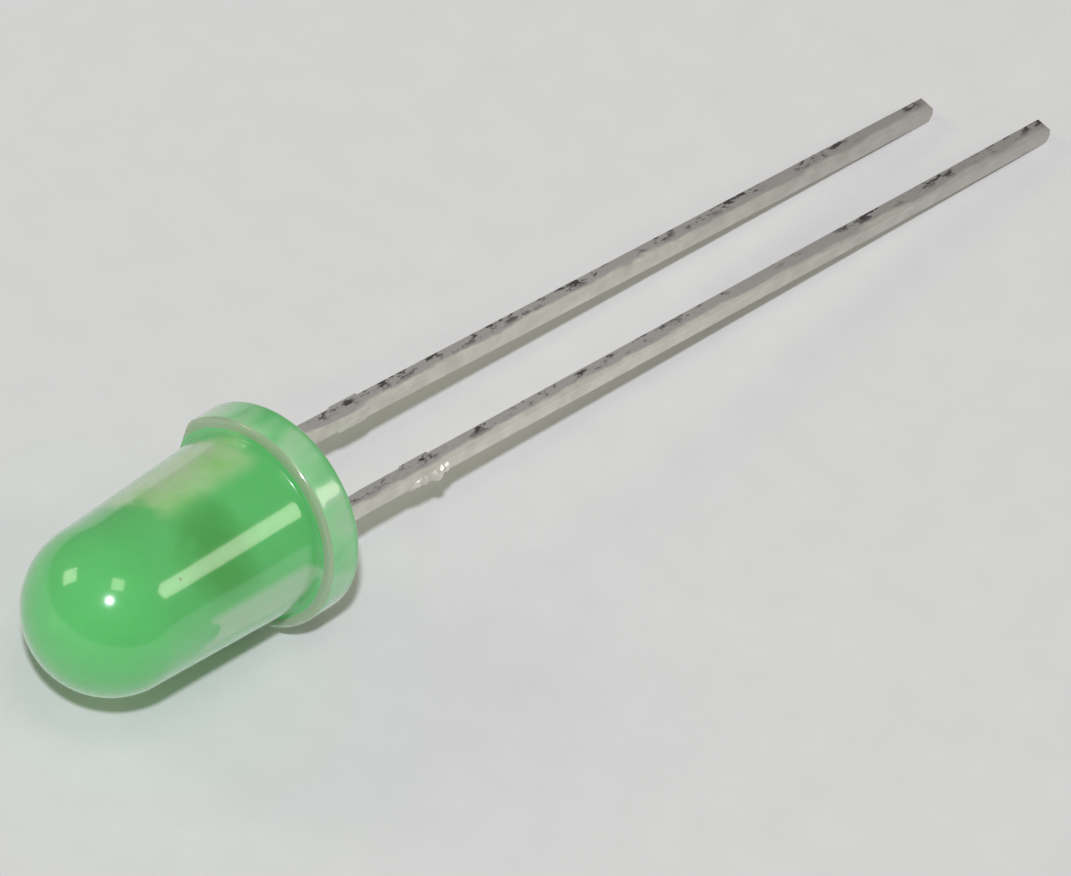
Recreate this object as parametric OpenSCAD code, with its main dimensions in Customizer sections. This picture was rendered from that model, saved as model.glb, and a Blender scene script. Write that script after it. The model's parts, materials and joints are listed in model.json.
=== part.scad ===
// Round 5 mm through-hole LED with two square leads, lying on its flange rim and lead tips.
// Every piece is drawn upright: the lens axis is Z, the flange stands on z = 0, the dome is up,
// the leads run down and the cathode is at +Y. lie_down() then lays the whole part on its side.

/* [Lens] */
// Diameter of the lens barrel at the flange
lens_d = 5.0; // [4.6:0.05:5.6]
// Diameter of the lens barrel where the dome starts
dome_d = 4.6; // [4.2:0.05:4.9]
// Height from the underside of the flange to the top of the dome
lens_h = 8.5; // [7.6:0.1:11]
// Diameter of the flange
flange_d = 5.9; // [5.7:0.05:7.1]
// Thickness of the flange
flange_t = 1.1; // [0.8:0.05:1.4]
// Radius of the rounding along both edges of the flange
flange_edge_r = 0.12; // [0.05:0.01:0.2]
// Distance from the axis to the flat that marks the cathode
flat_dist = 2.5; // [2.4:0.05:2.7]

/* [Leads] */
// Distance between the two leads where they leave the flange
lead_pitch = 2.54; // [2.1:0.01:3.1]
// Width of a lead, along the line between the two leads
lead_w = 0.46; // [0.38:0.01:0.6]
// Thickness of the lead frame
lead_t = 0.46; // [0.38:0.01:0.6]
// Length of the anode lead below the flange
anode_len = 28; // [15:0.5:34]
// How much shorter the cathode lead is
cathode_cut = 2; // [0:0.1:3]
// Straight stretch under the flange before a lead starts to lean
lean_start = 2.1; // [0.4:0.1:3]
// Lean of the cathode lead towards the anode side, in degrees
cathode_sweep = 3.0; // [0:0.1:4]
// Lean of the anode lead away from the cathode side, in degrees
anode_sweep = 2.5; // [0:0.1:4]
// Bend of the cathode lead towards the surface it lies on, in degrees
cathode_drop = 1.2; // [0:0.1:2]
// Bend of the anode lead towards the surface it lies on, in degrees
anode_drop = 0.9; // [0:0.1:2]

/* [Tie bar stubs] */
// Distance from the flange to the sheared stubs of the tie bar
stub_start = 3.6; // [3.2:0.1:6]
// Length of a stub along the lead
stub_len = 1.0; // [0.6:0.1:2]
// How far a stub stands out of the side of the lead
stub_out = 0.05; // [0.03:0.01:0.2]

/* [Lead frame inside] */
// Height of the rim of the reflector cup above the underside of the flange
cup_rim_h = 4.9; // [4:0.1:5.5]
// Outside diameter of the cup's head
head_d = 1.3; // [1.1:0.05:1.5]
// Height of the cup's head
head_h = 1.1; // [0.8:0.05:1.5]
// Diameter of the cup at its rim
cup_d = 1.0; // [0.8:0.05:1.05]
// Diameter of the cup's floor
cup_floor_d = 0.6; // [0.55:0.05:0.75]
// Depth of the cup
cup_depth = 0.35; // [0.25:0.05:0.5]
// Width of the cathode's anvil where it carries the cup's head
anvil_top_w = 1.04; // [0.8:0.02:1.1]
// How far the anvil runs up inside the cup's head
anvil_into_head = 0.55; // [0.3:0.05:0.7]
// Height at which the cathode's anvil starts to widen
anvil_h = 2.1; // [1.5:0.1:2.6]
// Height at which the anode's post starts to widen
post_h = 3.0; // [2:0.1:3.6]
// Width of the flag on top of the anode's post
flag_w = 0.8; // [0.6:0.05:1]
// Distance of the wire's foot from the inner edge of the flag
wire_foot_in = 0.27; // [0.15:0.01:0.4]
// Gap between the cup's head and the anode's flag
frame_gap = 0.35; // [0.2:0.05:0.5]
// Depth of the notches that lock the frame into the epoxy
notch_depth = 0.15; // [0.05:0.01:0.2]
// Height of a notch
notch_h = 0.5; // [0.3:0.05:0.7]

/* [Die and wire] */
// Side of the square die
die_w = 0.3; // [0.2:0.01:0.36]
// Thickness of the die
die_t = 0.16; // [0.1:0.01:0.2]
// Diameter of the layer of silver epoxy under the die
attach_d = 0.48; // [0.45:0.01:0.52]
// Thickness of the layer of silver epoxy
attach_t = 0.03; // [0.02:0.01:0.05]
// Diameter of the bond wire
wire_d = 0.03; // [0.02:0.005:0.05]
// Diameter of the ball that bonds the wire to the die
ball_d = 0.09; // [0.07:0.01:0.12]
// Height of that ball
ball_h = 0.03; // [0.02:0.005:0.05]

/* [Hidden] */
$fn = 96;

epoxy_green = [0.36, 0.70, 0.42, 0.75];
tinned = [0.76, 0.74, 0.70];
silver = [0.80, 0.80, 0.78];
die_grey = [0.55, 0.60, 0.45];
gold = [0.90, 0.72, 0.30];

overlap = 0.05;              // how far the pieces of one solid run into each other
lens_r = lens_d / 2;
dome_r = dome_d / 2;
flange_r = flange_d / 2;
head_r = head_d / 2;
lead_y = lead_pitch / 2;
cathode_len = anode_len - cathode_cut;

// Inside, from the foot of the cup's head up to the bond pads
head_foot = cup_rim_h - head_h;
cup_floor_h = cup_rim_h - cup_depth;
die_base_h = cup_floor_h + attach_t;
die_top_h = die_base_h + die_t;
pad_h = die_top_h + ball_h;

// The anode's flag stands beside the cup's head
flag_in_y = -head_r - frame_gap;
flag_out_y = flag_in_y - flag_w;
wire_foot_y = flag_in_y - wire_foot_in;

// Where the centres of the tips end up: beside the axis towards the cathode, below the axis on
// the side that the part lies on, and out from the flange
cathode_bend_len = cathode_len - lean_start;
anode_bend_len = anode_len - lean_start;
cathode_tip_side = lead_y - cathode_bend_len * sin(cathode_sweep);
anode_tip_side = -lead_y - anode_bend_len * sin(anode_sweep);
cathode_tip_low = cathode_bend_len * cos(cathode_sweep) * sin(cathode_drop);
anode_tip_low = anode_bend_len * cos(anode_sweep) * sin(anode_drop);
cathode_tip_out = lean_start + cathode_bend_len * cos(cathode_sweep) * cos(cathode_drop);
anode_tip_out = lean_start + anode_bend_len * cos(anode_sweep) * cos(anode_drop);

// The part lies on the edge of the flange and on both tips: each tip's under side is as low as
// the flange's edge, which gives the roll about the axis and then the pitch of the axis
rim_drop = flange_r - lead_t / 2;
roll_sin = (rim_drop * (1 / anode_tip_out - 1 / cathode_tip_out)
    + cathode_tip_low / cathode_tip_out - anode_tip_low / anode_tip_out)
    / (cathode_tip_side / cathode_tip_out - anode_tip_side / anode_tip_out);
lay_roll = asin(roll_sin);
lay_pitch = atan((rim_drop + anode_tip_side * roll_sin - anode_tip_low) / anode_tip_out);

module lie_down() {
    rotate([lay_roll, lay_pitch, 0])
        rotate([0, -90, 0])
            children();
}

// The half outline of the flange, with both edges rounded
module flange_outline() {
    square([flange_r - flange_edge_r, flange_t]);
    translate([0, flange_edge_r])
        square([flange_r, flange_t - 2 * flange_edge_r]);
    for (edge_z = [flange_edge_r, flange_t - flange_edge_r])
        translate([flange_r - flange_edge_r, edge_z])
            circle(r = flange_edge_r);
}

// The half outline of the tapered barrel and the round dome
module barrel_outline() {
    polygon([
        [0, 0],
        [lens_r, 0],
        [lens_r, flange_t],
        [dome_r, lens_h - dome_r],
        [0, lens_h - dome_r]
    ]);
    intersection() {
        translate([0, lens_h - dome_r])
            circle(r = dome_r);
        translate([0, lens_h - dome_r])
            square([dome_r, dome_r]);
    }
}

module cathode_flat_cut() {
    translate([-flange_r, flat_dist, -overlap])
        cube([2 * flange_r, flange_r, flange_t + overlap]);
}

module lens_body() {
    color(epoxy_green)
        lie_down()
            difference() {
                rotate_extrude() {
                    flange_outline();
                    barrel_outline();
                }
                cathode_flat_cut();
                cathode_shape();
                anode_shape();
                die_attach_shape();
                die_shape();
                wire_shape();
            }
}

// A square bar of the lead frame's thickness, from height z0 up to z1, between y0 and y1
module frame_bar(y0, y1, z0, z1) {
    translate([-lead_t / 2, y0, z0])
        cube([lead_t, y1 - y0, z1 - z0]);
}

// A flat plate of the lead frame, from its outline in the Y-Z plane
module frame_plate(points) {
    rotate([90, 0, 90])
        translate([0, 0, -lead_t / 2])
            linear_extrude(height = lead_t)
                polygon(points);
}

// The lead below the flange: a short straight stub, then a bar that leans, with the sheared
// stubs of the tie bar on both sides
module outer_lead(y, len, sweep, drop) {
    frame_bar(y - lead_w / 2, y + lead_w / 2, -lean_start - overlap, 0);
    translate([0, y, -lean_start])
        rotate([-sweep, drop, 0]) {
            frame_bar(-lead_w / 2, lead_w / 2, lean_start - len, overlap);
            frame_bar(
                -lead_w / 2 - stub_out, lead_w / 2 + stub_out,
                lean_start - stub_start - stub_len, lean_start - stub_start
            );
        }
}

// Two notches, one on each side of a shank, that lock it into the epoxy
module lock_notches(y) {
    for (side = [-1, 1])
        translate([-lead_t, y + side * lead_w / 2 - notch_depth, flange_t])
            cube([2 * lead_t, 2 * notch_depth, notch_h]);
}

module cathode_shape() {
    outer_lead(lead_y, cathode_len, cathode_sweep, cathode_drop);
    difference() {
        union() {
            frame_bar(lead_y - lead_w / 2, lead_y + lead_w / 2, -overlap, anvil_h + overlap);
            frame_plate([
                [lead_y - lead_w / 2, anvil_h],
                [lead_y + lead_w / 2, anvil_h],
                [lead_y + lead_w / 2, head_foot],
                [anvil_top_w / 2, head_foot + anvil_into_head],
                [-anvil_top_w / 2, head_foot + anvil_into_head],
                [-anvil_top_w / 2, head_foot]
            ]);
            translate([0, 0, head_foot])
                cylinder(h = head_h, r = head_r);
        }
        lock_notches(lead_y);
        translate([0, 0, cup_floor_h])
            cylinder(h = cup_depth, d1 = cup_floor_d, d2 = cup_d);
    }
}

module cathode_lead() {
    color(tinned)
        lie_down()
            cathode_shape();
}

module anode_shape() {
    outer_lead(-lead_y, anode_len, anode_sweep, anode_drop);
    difference() {
        union() {
            frame_bar(-lead_y - lead_w / 2, -lead_y + lead_w / 2, -overlap, post_h + overlap);
            frame_plate([
                [-lead_y - lead_w / 2, post_h],
                [-lead_y + lead_w / 2, post_h],
                [flag_in_y, head_foot],
                [flag_in_y, pad_h],
                [flag_out_y, pad_h],
                [flag_out_y, head_foot]
            ]);
        }
        lock_notches(-lead_y);
    }
}

module anode_lead() {
    color(tinned)
        lie_down()
            anode_shape();
}

module die_attach_shape() {
    translate([0, 0, cup_floor_h])
        cylinder(h = attach_t, d = attach_d);
}

module die_attach() {
    color(silver)
        lie_down()
            die_attach_shape();
}

module die_shape() {
    translate([-die_w / 2, -die_w / 2, die_base_h])
        cube([die_w, die_w, die_t]);
}

module led_die() {
    color(die_grey)
        lie_down()
            die_shape();
}

// A ball on the die and a half round loop down to the flag of the anode
module wire_shape() {
    loop_r = -wire_foot_y / 2;
    translate([0, 0, die_top_h])
        cylinder(h = ball_h, d = ball_d);
    translate([0, -loop_r, pad_h])
        rotate([90, 0, 90])
            rotate_extrude(angle = 180)
                translate([loop_r, 0])
                    circle(d = wire_d, $fn = 24);
}

module bond_wire() {
    color(gold)
        lie_down()
            wire_shape();
}

lens_body();
cathode_lead();
anode_lead();
die_attach();
led_die();
bond_wire();
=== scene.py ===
"""Green diffused 5 mm LED lying on white paper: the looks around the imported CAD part."""

import json
import math
import random

import bmesh
import bpy
from mathutils import Matrix, Vector


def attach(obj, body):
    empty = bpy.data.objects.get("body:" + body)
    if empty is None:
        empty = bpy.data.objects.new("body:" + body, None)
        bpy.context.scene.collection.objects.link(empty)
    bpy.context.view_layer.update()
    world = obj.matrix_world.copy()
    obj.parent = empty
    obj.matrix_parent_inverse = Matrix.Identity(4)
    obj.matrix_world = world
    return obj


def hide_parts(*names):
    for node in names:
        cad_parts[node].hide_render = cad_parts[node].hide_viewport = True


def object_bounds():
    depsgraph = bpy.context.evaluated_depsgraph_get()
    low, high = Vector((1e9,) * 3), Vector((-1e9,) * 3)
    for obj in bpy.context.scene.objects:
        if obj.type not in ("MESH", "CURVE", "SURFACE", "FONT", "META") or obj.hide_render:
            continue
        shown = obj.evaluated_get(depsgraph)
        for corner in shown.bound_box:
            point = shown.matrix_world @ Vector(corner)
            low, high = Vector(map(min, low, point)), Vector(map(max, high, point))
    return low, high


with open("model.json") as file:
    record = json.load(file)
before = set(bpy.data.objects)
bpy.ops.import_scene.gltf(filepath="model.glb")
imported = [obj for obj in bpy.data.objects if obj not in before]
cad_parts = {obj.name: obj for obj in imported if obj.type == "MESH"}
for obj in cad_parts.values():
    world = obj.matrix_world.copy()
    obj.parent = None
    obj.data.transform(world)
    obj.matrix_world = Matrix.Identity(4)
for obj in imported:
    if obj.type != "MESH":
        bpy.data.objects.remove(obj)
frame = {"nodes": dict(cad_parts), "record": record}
cad_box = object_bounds()

MM = 0.001
BODY = "root"

# ---------------------------------------------------------------- sizes, in millimetres
LENS_R = 2.5                # radius of the barrel at the flange
DOME_R = 2.3                # radius where the dome starts
FLANGE_T = 1.1
FLANGE_EDGE = 0.14          # rounding of the flange's edges, 0.02 more than the CAD's
FILLET_R = 0.1              # small fillet between flange and barrel
FLAT_DIST = 2.5             # from the axis to the cathode flat
LENS_SIDES = 256
BACK_STEPS, EDGE_STEPS, RIM_STEPS, FILLET_STEPS = 8, 6, 5, 5
BARREL_STEPS, DOME_STEPS = 24, 40
BURR_STEPS = 14
LEAD_W = 0.46
LEAN_START = 2.1            # straight stretch of a lead under the flange
STUB_START = 3.6            # from the flange to the sheared stubs of the tie bar
STUB_OUT = 0.05             # how far the stubs stand out beside a lead
CATHODE_LEAN = 3.0          # degrees, both towards the anode's side
ANODE_LEAN = 2.5
CATHODE_DROP = 1.2          # degrees, towards the floor
ANODE_DROP = 0.9
PITCH = 2.54
EDGE_BEVEL = 0.05           # softening of the leads' edges
PATCH_WOBBLE = 2.4          # how far noise can move the end of a coloured patch on the lens, painted reflections too

# The imported mounts say how the part lies: the board seat faces down the leads, the flat faces
# the cathode's side.
mounts = {m["name"]: m for m in frame["record"]["mounts"]}
up_axis = -Vector(mounts["board_seat"]["axis"])
side_axis = Vector(mounts["cathode_flat"]["axis"])
front_axis = side_axis.cross(up_axis)
FLANGE_R = mounts["flange_rim"]["dims"]["r_mm"]
UPRIGHT = Matrix((front_axis, side_axis, up_axis)).transposed().to_4x4()
UPRIGHT.translation = Vector(mounts["board_seat"]["pos_m"])
to_upright = UPRIGHT.inverted()
LENS_H = max((to_upright @ v.co).z for v in frame["nodes"]["lens_body"].data.vertices) / MM


# ---------------------------------------------------------------- node helpers
def new_material(name):
    material = bpy.data.materials.new(name)
    material.use_nodes = True
    tree = material.node_tree
    return material, tree, tree.nodes["Principled BSDF"]


def add_node(tree, kind, **settings):
    node = tree.nodes.new(kind)
    for key, value in settings.items():
        setattr(node, key, value)
    return node


def noise_node(tree, coords, scale, detail=4.0, roughness=0.55, stretch=(1, 1, 1)):
    mapping = add_node(tree, "ShaderNodeMapping")
    mapping.inputs["Scale"].default_value = stretch
    tree.links.new(coords, mapping.inputs["Vector"])
    node = add_node(tree, "ShaderNodeTexNoise")
    node.inputs["Scale"].default_value = scale
    node.inputs["Detail"].default_value = detail
    node.inputs["Roughness"].default_value = roughness
    tree.links.new(mapping.outputs["Vector"], node.inputs["Vector"])
    return node.outputs["Fac"]


def ramp(tree, value, stops):
    node = add_node(tree, "ShaderNodeValToRGB")
    elements = node.color_ramp.elements
    while len(elements) < len(stops):
        elements.new(0.5)
    for element, (position, colour) in zip(elements, stops):
        element.position = position
        element.color = (*colour, 1) if len(colour) == 3 else colour
    tree.links.new(value, node.inputs["Fac"])
    return node.outputs["Color"]


def mix(tree, factor, first, second):
    node = add_node(tree, "ShaderNodeMix", data_type="RGBA", blend_type="MIX")
    for socket, value in (("Factor", factor), ("A", first), ("B", second)):
        sockets = [s for s in node.inputs if s.name == socket and s.enabled]
        if hasattr(value, "is_linked"):
            tree.links.new(value, sockets[0])
        else:
            sockets[0].default_value = value
    return [s for s in node.outputs if s.enabled][0]


def bump(tree, shader, height, distance):
    node = add_node(tree, "ShaderNodeBump")
    node.inputs["Strength"].default_value = 1.0
    node.inputs["Distance"].default_value = distance
    tree.links.new(height, node.inputs["Height"])
    tree.links.new(node.outputs["Normal"], shader.inputs["Normal"])


def object_coords(tree):
    return add_node(tree, "ShaderNodeTexCoord").outputs["Object"]


# ---------------------------------------------------------------- materials
def times(tree, *values):
    """The product of several factors."""
    product = values[0]
    for value in values[1:]:
        node = add_node(tree, "ShaderNodeMath", operation="MULTIPLY")
        tree.links.new(product, node.inputs[0])
        tree.links.new(value, node.inputs[1])
        product = node.outputs["Value"]
    return product


def smooth_step(tree, value, start, end):
    """0 before start and 1 past end; start may be the larger of the two."""
    node = add_node(tree, "ShaderNodeMapRange", interpolation_type="SMOOTHSTEP")
    tree.links.new(value, node.inputs["Value"])
    low, high = sorted((start, end))
    node.inputs["From Min"].default_value = low
    node.inputs["From Max"].default_value = high
    node.inputs["To Min"].default_value = 0 if start < end else 1
    node.inputs["To Max"].default_value = 1 if start < end else 0
    return node.outputs["Result"]


def lens_places(tree, coords):
    """Place along the axis (0 at the flange's back, less towards the dome), radius, heading."""
    moved = add_node(tree, "ShaderNodeVectorMath", operation="SUBTRACT")
    tree.links.new(coords, moved.inputs[0])
    moved.inputs[1].default_value = UPRIGHT.translation
    values = []
    for axis in (-up_axis, side_axis, front_axis):
        part = add_node(tree, "ShaderNodeVectorMath", operation="DOT_PRODUCT")
        tree.links.new(moved.outputs["Vector"], part.inputs[0])
        part.inputs[1].default_value = axis
        values.append(part.outputs["Value"])
    around = add_node(tree, "ShaderNodeCombineXYZ")
    tree.links.new(values[1], around.inputs["Y"])
    tree.links.new(values[2], around.inputs["Z"])
    length = add_node(tree, "ShaderNodeVectorMath", operation="LENGTH")
    tree.links.new(around.outputs["Vector"], length.inputs[0])
    unit = add_node(tree, "ShaderNodeVectorMath", operation="NORMALIZE")
    tree.links.new(around.outputs["Vector"], unit.inputs[0])
    return values[0], length.outputs["Value"], unit.outputs["Vector"]


def zone(tree, place, unit, wobble, x_from, x_to, soft, heading, half_width, soft_width):
    """A soft patch on the lens: between two heights in mm, and round one heading in degrees."""
    turn = math.radians(heading)
    facing = add_node(tree, "ShaderNodeVectorMath", operation="DOT_PRODUCT")
    tree.links.new(unit, facing.inputs[0])
    facing.inputs[1].default_value = (0, math.cos(turn), math.sin(turn))
    moved = add_node(tree, "ShaderNodeMath", operation="MULTIPLY_ADD")
    tree.links.new(wobble, moved.inputs[0])
    moved.inputs[1].default_value = PATCH_WOBBLE * MM
    tree.links.new(place, moved.inputs[2])
    x = moved.outputs["Value"]
    shift = PATCH_WOBBLE / 2
    near = smooth_step(tree, x, (x_from + shift) * MM, (x_from + soft + shift) * MM)
    far = smooth_step(tree, x, (x_to + shift) * MM, (x_to - soft + shift) * MM)
    edge = math.cos(math.radians(half_width + soft_width))
    full = math.cos(math.radians(half_width))
    around = smooth_step(tree, facing.outputs["Value"], edge, full)
    return times(tree, near, far, around)


def epoxy():
    """Milky green epoxy. The lead frame inside shows as lighter and darker clouds; the lighter
    cloud also holds a painted reflection, and a pale streak low on the barrel is a painted
    reflection of the paper.
    """
    material, tree, shader = new_material("green_epoxy")
    coords = object_coords(tree)
    place, radius, unit = lens_places(tree, coords)
    wobble = noise_node(tree, coords, 600, detail=3)
    cloud = noise_node(tree, coords, 380, detail=9, roughness=0.75)
    colour = ramp(tree, cloud, [(0.3, (0.165, 0.74, 0.225)), (0.7, (0.205, 0.80, 0.27))])
    light_zone_and_reflection_colour = ramp(tree, wobble, [(0.35, (0.47, 0.88, 0.33)), (0.6, (0.68, 0.97, 0.58))])
    dark_cloud = (0.125, 0.56, 0.135, 1)
    reflection_streak_colour = (0.52, 0.86, 0.52, 1)
    # Lighter cloud: partly the lead frame inside, partly a painted reflection along the barrel.
    light_zone_and_reflection = zone(tree, place, unit, wobble, -5.4, -1.0, 0.8, 64, 7, 26)
    colour = mix(tree, light_zone_and_reflection, colour, light_zone_and_reflection_colour)
    dark = zone(tree, place, unit, wobble, -5.6, -2.6, 1.2, 124, 6, 36)
    colour = mix(tree, dark, colour, dark_cloud)
    # Painted reflection: a pale streak low on the barrel, where the bright paper shows in the
    # surface.
    painted_reflection_streak = zone(tree, place, unit, wobble, -5.3, -1.2, 0.3, 174, 6, 10)
    colour = mix(tree, painted_reflection_streak, colour, reflection_streak_colour)
    # The flange is thinner, so its colour is painted lighter for the light that shows through it,
    # with pale streaks, and a deeper green along its back edge.
    streaks = noise_node(tree, coords, 700, detail=2, stretch=(0.4, 1, 1))
    thin = ramp(tree, streaks, [(0.36, (0.22, 0.80, 0.30)), (0.56, (0.56, 0.96, 0.58))])
    flange = times(tree, smooth_step(tree, place, -1.12 * MM, -1.02 * MM),
                   smooth_step(tree, place, -0.02 * MM, -0.30 * MM))
    colour = mix(tree, flange, colour, thin)
    ridge = times(tree, smooth_step(tree, place, -0.98 * MM, -1.04 * MM),
                  smooth_step(tree, radius, 2.64 * MM, 2.70 * MM))
    colour = mix(tree, ridge, colour, (0.47, 0.60, 0.40, 1))
    # A few small dark specks on the surface.
    speck_cells = add_node(tree, "ShaderNodeTexVoronoi")
    speck_cells.inputs["Scale"].default_value = 800
    tree.links.new(coords, speck_cells.inputs["Vector"])
    dark_speck = times(tree, smooth_step(tree, speck_cells.outputs["Distance"], 0.065, 0.04),
                smooth_step(tree, speck_cells.outputs["Color"], 0.62, 0.66))
    colour = mix(tree, dark_speck, colour, (0.05, 0.26, 0.07, 1))
    tree.links.new(colour, shader.inputs["Base Color"])
    shader.inputs["Subsurface Weight"].default_value = 1.0
    shader.inputs["Subsurface Radius"].default_value = (0.6, 1.0, 0.6)
    shader.inputs["Subsurface Scale"].default_value = 0.45 * MM
    shader.inputs["Transmission Weight"].default_value = 0.28
    shader.inputs["IOR"].default_value = 1.5
    shader.inputs["Roughness"].default_value = 0.18
    shader.inputs["Coat Weight"].default_value = 1.0
    shader.inputs["Coat Roughness"].default_value = 0.05
    shader.inputs["Coat IOR"].default_value = 1.5
    ripple = noise_node(tree, coords, 900, detail=3)
    bump(tree, shader, ripple, 0.0000015)
    return material


def across(tree, coords, start_y, lean):
    """Place across a lead: -1 at its edge on the anode's side, +1 at its edge on the other."""
    middle = add_node(tree, "ShaderNodeVectorMath", operation="DOT_PRODUCT")
    tree.links.new(coords, middle.inputs[0])
    middle.inputs[1].default_value = (math.tan(math.radians(lean)), 1, 0)
    shifted = add_node(tree, "ShaderNodeMath", operation="MULTIPLY_ADD")
    tree.links.new(middle.outputs["Value"], shifted.inputs[0])
    half = LEAD_W / 2 * MM
    shifted.inputs[1].default_value = 1 / half
    offset = (start_y + LEAN_START * math.tan(math.radians(lean))) * MM
    shifted.inputs[2].default_value = -offset / half
    return shifted.outputs["Value"]


def tinned(name, start_y, lean):
    """Dull solder-dipped steel. A grey strip with dark specks runs along the top, partly tarnish
    and partly painted shade, as the top face sees less light than the lit side; the colour also
    darkens towards the tips.
    """
    material, tree, shader = new_material(name)
    coords = object_coords(tree)
    normal = add_node(tree, "ShaderNodeSeparateXYZ")
    geometry = add_node(tree, "ShaderNodeNewGeometry")
    tree.links.new(geometry.outputs["True Normal"], normal.inputs["Vector"])
    top = ramp(tree, normal.outputs["Z"], [(0.55, (0, 0, 0)), (0.85, (1, 1, 1))])
    place = across(tree, coords, start_y, lean)
    ragged = noise_node(tree, coords, 1400, detail=5, stretch=(0.4, 1, 1))
    edge = add_node(tree, "ShaderNodeMath", operation="MULTIPLY_ADD")
    tree.links.new(ragged, edge.inputs[0])
    edge.inputs[1].default_value = 2.4
    tree.links.new(place, edge.inputs[2])
    strip = ramp(tree, edge.outputs["Value"], [(0.55, (0, 0, 0)), (0.95, (1, 1, 1))])
    mottle = noise_node(tree, coords, 1500, detail=5)
    base = ramp(tree, mottle, [(0.3, (0.68, 0.65, 0.59)), (0.7, (0.86, 0.83, 0.76))])
    # Painted shade and tarnish: the far part of the top face is painted grey.
    lead_colour = mix(tree, times(tree, top, strip), base, (0.50, 0.475, 0.465, 1))
    along = add_node(tree, "ShaderNodeSeparateXYZ")
    tree.links.new(coords, along.inputs["Vector"])
    # Darker towards the tips, from 12 to 26 mm along x.
    tip_darkening = ramp(tree, along.outputs["X"], [(0.012, (0, 0, 0)), (0.026, (0.55, 0.55, 0.55))])
    lead_colour = mix(tree, tip_darkening, lead_colour, (0.33, 0.31, 0.30, 1))
    streaks = noise_node(tree, coords, 4200, detail=6, roughness=0.7, stretch=(0.4, 1, 1))
    clusters = noise_node(tree, coords, 650, detail=3)
    far_edge = smooth_step(tree, place, -0.5, 0.5)
    spots = times(tree, smooth_step(tree, streaks, 0.505, 0.57),
                  smooth_step(tree, clusters, 0.42, 0.56), far_edge)
    colour = mix(tree, times(tree, top, spots), lead_colour, (0.085, 0.07, 0.075, 1))
    tree.links.new(colour, shader.inputs["Base Color"])
    shader.inputs["Metallic"].default_value = 0.35
    rough = ramp(tree, streaks, [(0.4, (0.36, 0.36, 0.36)), (0.65, (0.62, 0.62, 0.62))])
    tree.links.new(rough, shader.inputs["Roughness"])
    grain = noise_node(tree, coords, 2600, detail=4, stretch=(0.3, 1, 1))
    bump(tree, shader, grain, 0.000010)
    return material


def speckled(name, dark, light, scale, metallic, roughness):
    material, tree, shader = new_material(name)
    coords = object_coords(tree)
    grain = noise_node(tree, coords, scale, detail=3)
    tree.links.new(ramp(tree, grain, [(0.35, dark), (0.65, light)]), shader.inputs["Base Color"])
    shader.inputs["Metallic"].default_value = metallic
    shader.inputs["Roughness"].default_value = roughness
    bump(tree, shader, grain, 0.000003)
    return material


def paper():
    material, tree, shader = new_material("paper")
    coords = object_coords(tree)
    fibres = noise_node(tree, coords, 700, detail=5)
    tone = ramp(tree, fibres, [(0.3, (0.775, 0.775, 0.775)), (0.7, (0.80, 0.80, 0.80))])
    tree.links.new(tone, shader.inputs["Base Color"])
    shader.inputs["Roughness"].default_value = 0.9
    shader.inputs["Specular IOR Level"].default_value = 0.2
    bump(tree, shader, fibres, 0.00002)
    return material


# ---------------------------------------------------------------- mesh helpers
def mesh_object(name, bm, material, replaces=()):
    mesh = bpy.data.meshes.new(name)
    bmesh.ops.recalc_face_normals(bm, faces=bm.faces)
    bm.to_mesh(mesh)
    bm.free()
    for polygon in mesh.polygons:
        polygon.use_smooth = True
    piece = bpy.data.objects.new(name, mesh)
    bpy.context.scene.collection.objects.link(piece)
    mesh.materials.append(material)
    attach(piece, BODY)
    if replaces:
        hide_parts(*replaces)
    return piece


def arc(centre_r, centre_z, radius, start, end, steps):
    """Points of an arc in the half outline, from angle start to angle end in degrees."""
    angles = [math.radians(start + (end - start) * i / steps) for i in range(steps + 1)]
    return [(centre_r + radius * math.cos(a), centre_z + radius * math.sin(a)) for a in angles]


def straight(a, b, steps):
    """Points between two ends, leaving out both ends."""
    return [tuple(Vector(a).lerp(Vector(b), i / steps)) for i in range(1, steps)]


def lens_outline():
    """Half outline (radius, height) from the centre of the flange's back up to the dome's top."""
    dome_z = LENS_H - DOME_R
    rim = FLANGE_R - FLANGE_EDGE
    edge_low = arc(rim, FLANGE_EDGE, FLANGE_EDGE, -90, 0, EDGE_STEPS)
    edge_high = arc(rim, FLANGE_T - FLANGE_EDGE, FLANGE_EDGE, 0, 90, EDGE_STEPS)
    fillet = arc(LENS_R + FILLET_R, FLANGE_T + FILLET_R, FILLET_R, -90, -180, FILLET_STEPS)
    dome = arc(0, dome_z, DOME_R, 0, 90, DOME_STEPS)
    outline = straight((0, 0), edge_low[0], BACK_STEPS) + edge_low
    outline += straight(edge_low[-1], edge_high[0], RIM_STEPS) + edge_high
    outline += fillet
    outline += straight(fillet[-1], dome[0], BARREL_STEPS) + dome[:-1]
    return outline


def lens():
    """The epoxy casting, turned from its outline, with the cathode flat cut into the flange."""
    bm = bmesh.new()
    rings = []
    for radius, height in lens_outline():
        ring = []
        for i in range(LENS_SIDES):
            a = 2 * math.pi * i / LENS_SIDES
            x, y = radius * math.cos(a), radius * math.sin(a)
            if height < FLANGE_T + FILLET_R:
                y = min(y, FLAT_DIST)
            ring.append(bm.verts.new(UPRIGHT @ (Vector((x, y, height)) * MM)))
        rings.append(ring)
    for low, high in zip(rings, rings[1:]):
        for i in range(LENS_SIDES):
            j = (i + 1) % LENS_SIDES
            bm.faces.new((low[i], low[j], high[j], high[i]))
    for ring, height in ((rings[0], 0), (rings[-1], LENS_H)):
        tip = bm.verts.new(UPRIGHT @ (Vector((0, 0, height)) * MM))
        for i in range(LENS_SIDES):
            bm.faces.new((ring[i], ring[(i + 1) % LENS_SIDES], tip))
    mesh_object("lens", bm, MATERIALS["epoxy"], replaces=["lens_body"])


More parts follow.
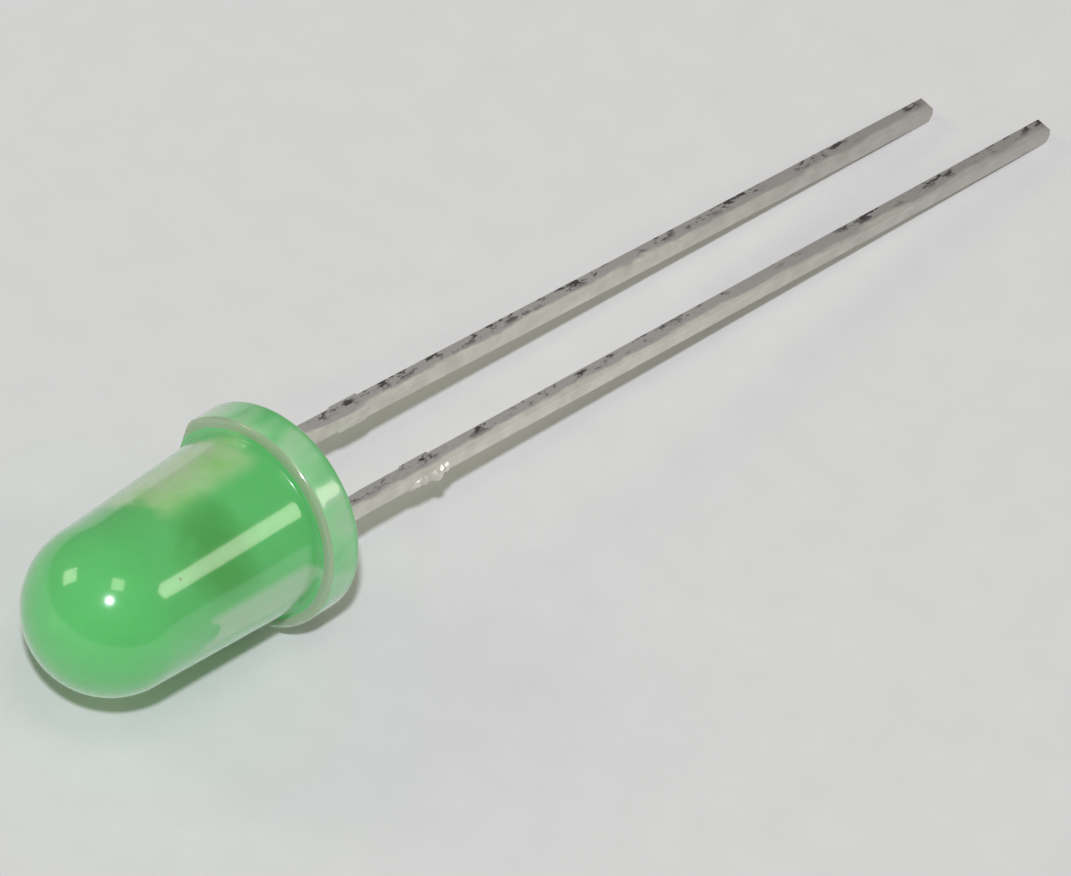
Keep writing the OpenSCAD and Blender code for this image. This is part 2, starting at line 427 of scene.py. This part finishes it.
def burr(name, lead_y, lean, drop, start, length, out, material, seed):
    """A ragged edge left where the tie bar was sheared off, on the anode's side of a lead."""
    rng = random.Random(seed)
    half = LEAD_W / 2
    sunk = 0.02
    bm = bmesh.new()
    rings = []
    for i in range(BURR_STEPS + 1):
        t = i / BURR_STEPS
        x = start + length * t
        centre_y = lead_y - (x - LEAN_START) * math.tan(math.radians(lean))
        centre_z = -(x - LEAN_START) * math.tan(math.radians(drop))
        side = centre_y - half + sunk
        swell = math.sin(math.pi * t) ** 0.5
        reach = STUB_OUT + out * swell * rng.uniform(0.35, 1.0)
        low = -half + rng.uniform(0.02, 0.10)
        high = half - rng.uniform(0.06, 0.16)
        middle = (low + high) / 2 + rng.uniform(-0.05, 0.05)
        ring = [(side, low), (side - reach * 0.8, low + 0.04), (side - reach, middle),
                (side - reach * 0.7, high - 0.03), (side, high)]
        rings.append([bm.verts.new(UPRIGHT @ (Vector((z + centre_z, y, -x)) * MM))
                      for y, z in ring])
    for first, second in zip(rings, rings[1:]):
        for i in range(len(first)):
            j = (i + 1) % len(first)
            bm.faces.new((first[i], first[j], second[j], second[i]))
    bm.faces.new(rings[0])
    bm.faces.new(reversed(rings[-1]))
    piece = mesh_object(name, bm, material)
    for polygon in piece.data.polygons:
        polygon.use_smooth = False


def dress(node, material, bevel=0.0):
    """A CAD node keeps its shape and gets its material and soft edges."""
    piece = frame["nodes"][node]
    piece.data.materials.clear()
    piece.data.materials.append(material)
    for polygon in piece.data.polygons:
        polygon.use_smooth = False
    if bevel:
        weld = piece.modifiers.new("weld", "WELD")
        weld.merge_threshold = 0.002 * MM
        soft = piece.modifiers.new("soft_edges", "BEVEL")
        soft.width = bevel * MM
        soft.segments = 3
        soft.limit_method = "ANGLE"
        soft.angle_limit = math.radians(35)
        soft.harden_normals = True


# ---------------------------------------------------------------- the part
MATERIALS = {
    "epoxy": epoxy(),
    "cathode_tin": tinned("cathode_tin", PITCH / 2, CATHODE_LEAN),
    "anode_tin": tinned("anode_tin", -PITCH / 2, ANODE_LEAN),
    "silver": speckled("silver_paste", (0.42, 0.42, 0.40), (0.62, 0.62, 0.60), 9000, 0.6, 0.55),
    "die": speckled("sawn_die", (0.20, 0.23, 0.12), (0.30, 0.33, 0.20), 9000, 0.0, 0.4),
    "gold": speckled("bond_gold", (0.80, 0.52, 0.16), (0.92, 0.66, 0.26), 12000, 1.0, 0.25),
    "paper": paper(),
}

lens()
dress("cathode_lead", MATERIALS["cathode_tin"], bevel=EDGE_BEVEL)
dress("anode_lead", MATERIALS["anode_tin"], bevel=EDGE_BEVEL)
burr("cathode_burr", PITCH / 2, CATHODE_LEAN, CATHODE_DROP, STUB_START, 1.1, 0.05,
     MATERIALS["cathode_tin"], 3)
burr("anode_burr", -PITCH / 2, ANODE_LEAN, ANODE_DROP, STUB_START, 1.4, 0.26,
     MATERIALS["anode_tin"], 8)
dress("die_attach", MATERIALS["silver"])
dress("led_die", MATERIALS["die"])
dress("bond_wire", MATERIALS["gold"])


# ---------------------------------------------------------------- the sheet of paper
FLOOR_SIZE = 4.0            # metres


def floor():
    lowest = cad_box[0].z
    bm = bmesh.new()
    bmesh.ops.create_grid(bm, x_segments=8, y_segments=8, size=FLOOR_SIZE / 2)
    mesh = bpy.data.meshes.new("paper_floor")
    bm.to_mesh(mesh)
    bm.free()
    piece = bpy.data.objects.new("paper_floor", mesh)
    piece.location = (0, 0, lowest)
    bpy.context.scene.collection.objects.link(piece)
    mesh.materials.append(MATERIALS["paper"])


floor()


# ---------------------------------------------------------------- light
def direction(azimuth, elevation):
    a, e = math.radians(azimuth), math.radians(elevation)
    return Vector((math.cos(a) * math.cos(e), math.sin(a) * math.cos(e), math.sin(e)))


def lamp(name, azimuth, elevation, distance, size, radiance, colour=(1, 1, 1), shape="SQUARE"):
    """An area light that faces the part. Its power follows from its radiance and its size."""
    light = bpy.data.lights.new(name, "AREA")
    light.shape = shape
    light.size = size
    area = size * size * (math.pi / 4 if shape == "DISK" else 1)
    light.energy = radiance * area * math.pi
    light.color = colour
    piece = bpy.data.objects.new(name, light)
    towards = direction(azimuth, elevation)
    piece.location = towards * distance
    piece.rotation_mode = "QUATERNION"
    piece.rotation_quaternion = towards.to_track_quat("Z", "Y")
    piece.visible_camera = False
    bpy.context.scene.collection.objects.link(piece)


# A flash beside the camera, and three windows that show on the dome and along the barrel.
WARM = (1.0, 0.99, 0.80)
WINDOW_DISTANCE = 1.5
lamp("flash", -154.6, 56.6, 1.375, 0.07, 950.0, (0.90, 0.905, 1.0), "DISK")
lamp("window_left", 121.6, 30.3, WINDOW_DISTANCE, 0.45, 3.3, WARM)
lamp("window_top", -143.0, 79.2, WINDOW_DISTANCE, 0.40, 3.0, WARM)
lamp("window_right", -42.0, 33.0, WINDOW_DISTANCE, 0.35, 3.6, WARM)

world = bpy.data.worlds.new("room")
world.use_nodes = True
background = world.node_tree.nodes["Background"]
background.inputs["Color"].default_value = (1.0, 0.99, 0.86, 1)
background.inputs["Strength"].default_value = 0.22
bpy.context.scene.world = world
bpy.context.scene.view_settings.view_transform = "Standard"


# ---------------------------------------------------------------- camera
CAMERA_HEADING = 30.33      # degrees, from +X towards +Y
CAMERA_DOWN = 48.43         # degrees below the horizon
CAMERA_ROLL = -17.3
CAMERA_DISTANCE = 0.5195
CAMERA_LENS = 678.0         # on a 36 mm sensor
AIM = Vector((9.362, -1.291, -2.923)) * MM


def camera():
    data = bpy.data.cameras.new("camera")
    data.lens = CAMERA_LENS
    data.sensor_width = 36
    data.clip_start = 0.01
    data.clip_end = 20
    piece = bpy.data.objects.new("camera", data)
    forward = direction(CAMERA_HEADING, -CAMERA_DOWN)
    level = forward.cross(Vector((0, 0, 1))).normalized()
    turn = Matrix.Rotation(math.radians(CAMERA_ROLL), 3, forward)
    right = turn @ level
    top = right.cross(forward)
    rotation = Matrix((right, top, -forward)).transposed().to_4x4()
    piece.matrix_world = Matrix.Translation(AIM - forward * CAMERA_DISTANCE) @ rotation
    bpy.context.scene.collection.objects.link(piece)
    bpy.context.scene.camera = piece


camera()
